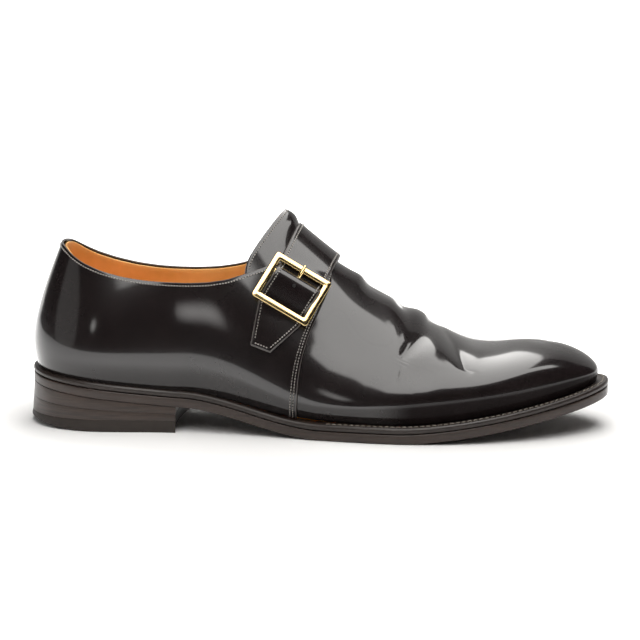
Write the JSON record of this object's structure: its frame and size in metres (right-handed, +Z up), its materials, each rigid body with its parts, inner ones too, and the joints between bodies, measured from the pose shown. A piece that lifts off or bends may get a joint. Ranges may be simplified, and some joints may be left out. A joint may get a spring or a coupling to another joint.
{
  "type": "monk strap shoe",
  "caption": "Right dark brown leather dress shoe with a plain almond toe, one instep strap fastened by a square brass buckle, welted leather sole and low stacked heel; worn, creased vamp.",
  "frame": {"origin": "Middle of the shoe's footprint, on the floor.", "axes": "+X from heel to toe, +Y towards the inner (medial) side of the right foot, +Z up. Metres."},
  "size_m": [0.303, 0.1028, 0.1101],
  "materials": {
    "upper_leather": "polished box calf, very dark brown, glossy",
    "lining_leather": "tan lining leather, matt",
    "sole_leather": "stained and waxed sole leather edges",
    "heel_rubber": "dark rubber and leather top piece, matt, worn at the back",
    "buckle_brass": "polished, lacquered"
  },
  "bodies": {
    "root": {"upper": "upper_leather", "tongue": "upper_leather", "strap": "upper_leather", "insole": "lining_leather", "welt": "sole_leather", "outsole": "sole_leather", "heel_lift_1": "sole_leather", "heel_lift_2": "sole_leather", "heel_top_piece": "heel_rubber", "buckle_frame": "buckle_brass", "buckle_bar": "buckle_brass", "buckle_prong": "buckle_brass"}
  },
  "joints": []
}
